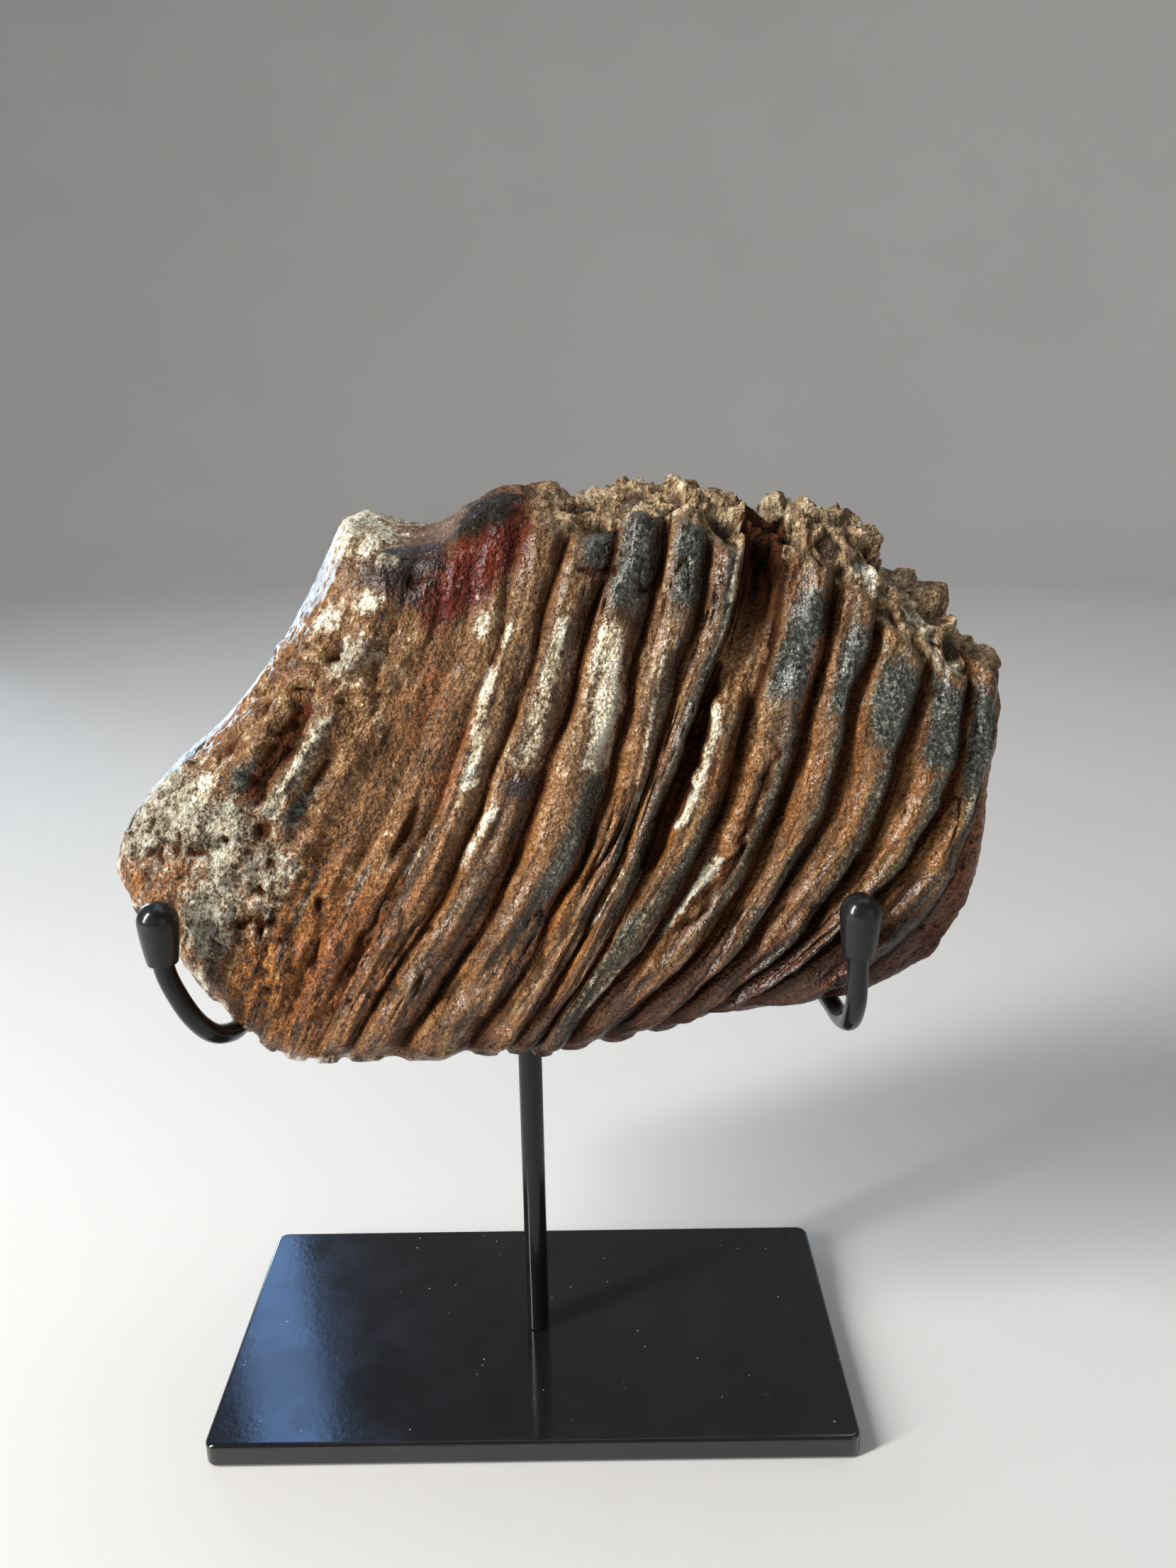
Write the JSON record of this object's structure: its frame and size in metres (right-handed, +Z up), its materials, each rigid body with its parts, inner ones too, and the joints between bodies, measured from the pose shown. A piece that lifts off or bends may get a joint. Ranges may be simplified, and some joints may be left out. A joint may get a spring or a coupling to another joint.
{
  "type": "fossil mammoth tooth on a display stand",
  "caption": "Ribbed fossil mammoth molar with broken, spongy root ends, held by bent rods with soft sleeves on a slim post over a flat glossy base plate.",
  "frame": {"origin": "middle of the base plate's underside", "axes": "+Z up, from the base plate to the tooth's root ends; +X along the tooth, towards its high steep end; -Y towards the broad face that is shown to the front"},
  "size_m": [0.1991, 0.0904, 0.231],
  "materials": {
    "fossil": null,
    "plate_lacquer": "glossy black lacquer on steel",
    "rod_paint": "glossy black paint on steel rod",
    "sleeve_rubber": "smooth black dipped rubber"
  },
  "bodies": {
    "root": {"tooth": "fossil", "base_plate": "plate_lacquer", "post": "rod_paint", "cross_bar": "rod_paint", "left_cradle_rod": "rod_paint", "right_cradle_rod": "rod_paint", "left_front_sleeve": "sleeve_rubber", "left_rear_sleeve": "sleeve_rubber", "right_front_sleeve": "sleeve_rubber", "right_rear_sleeve": "sleeve_rubber"}
  },
  "joints": []
}
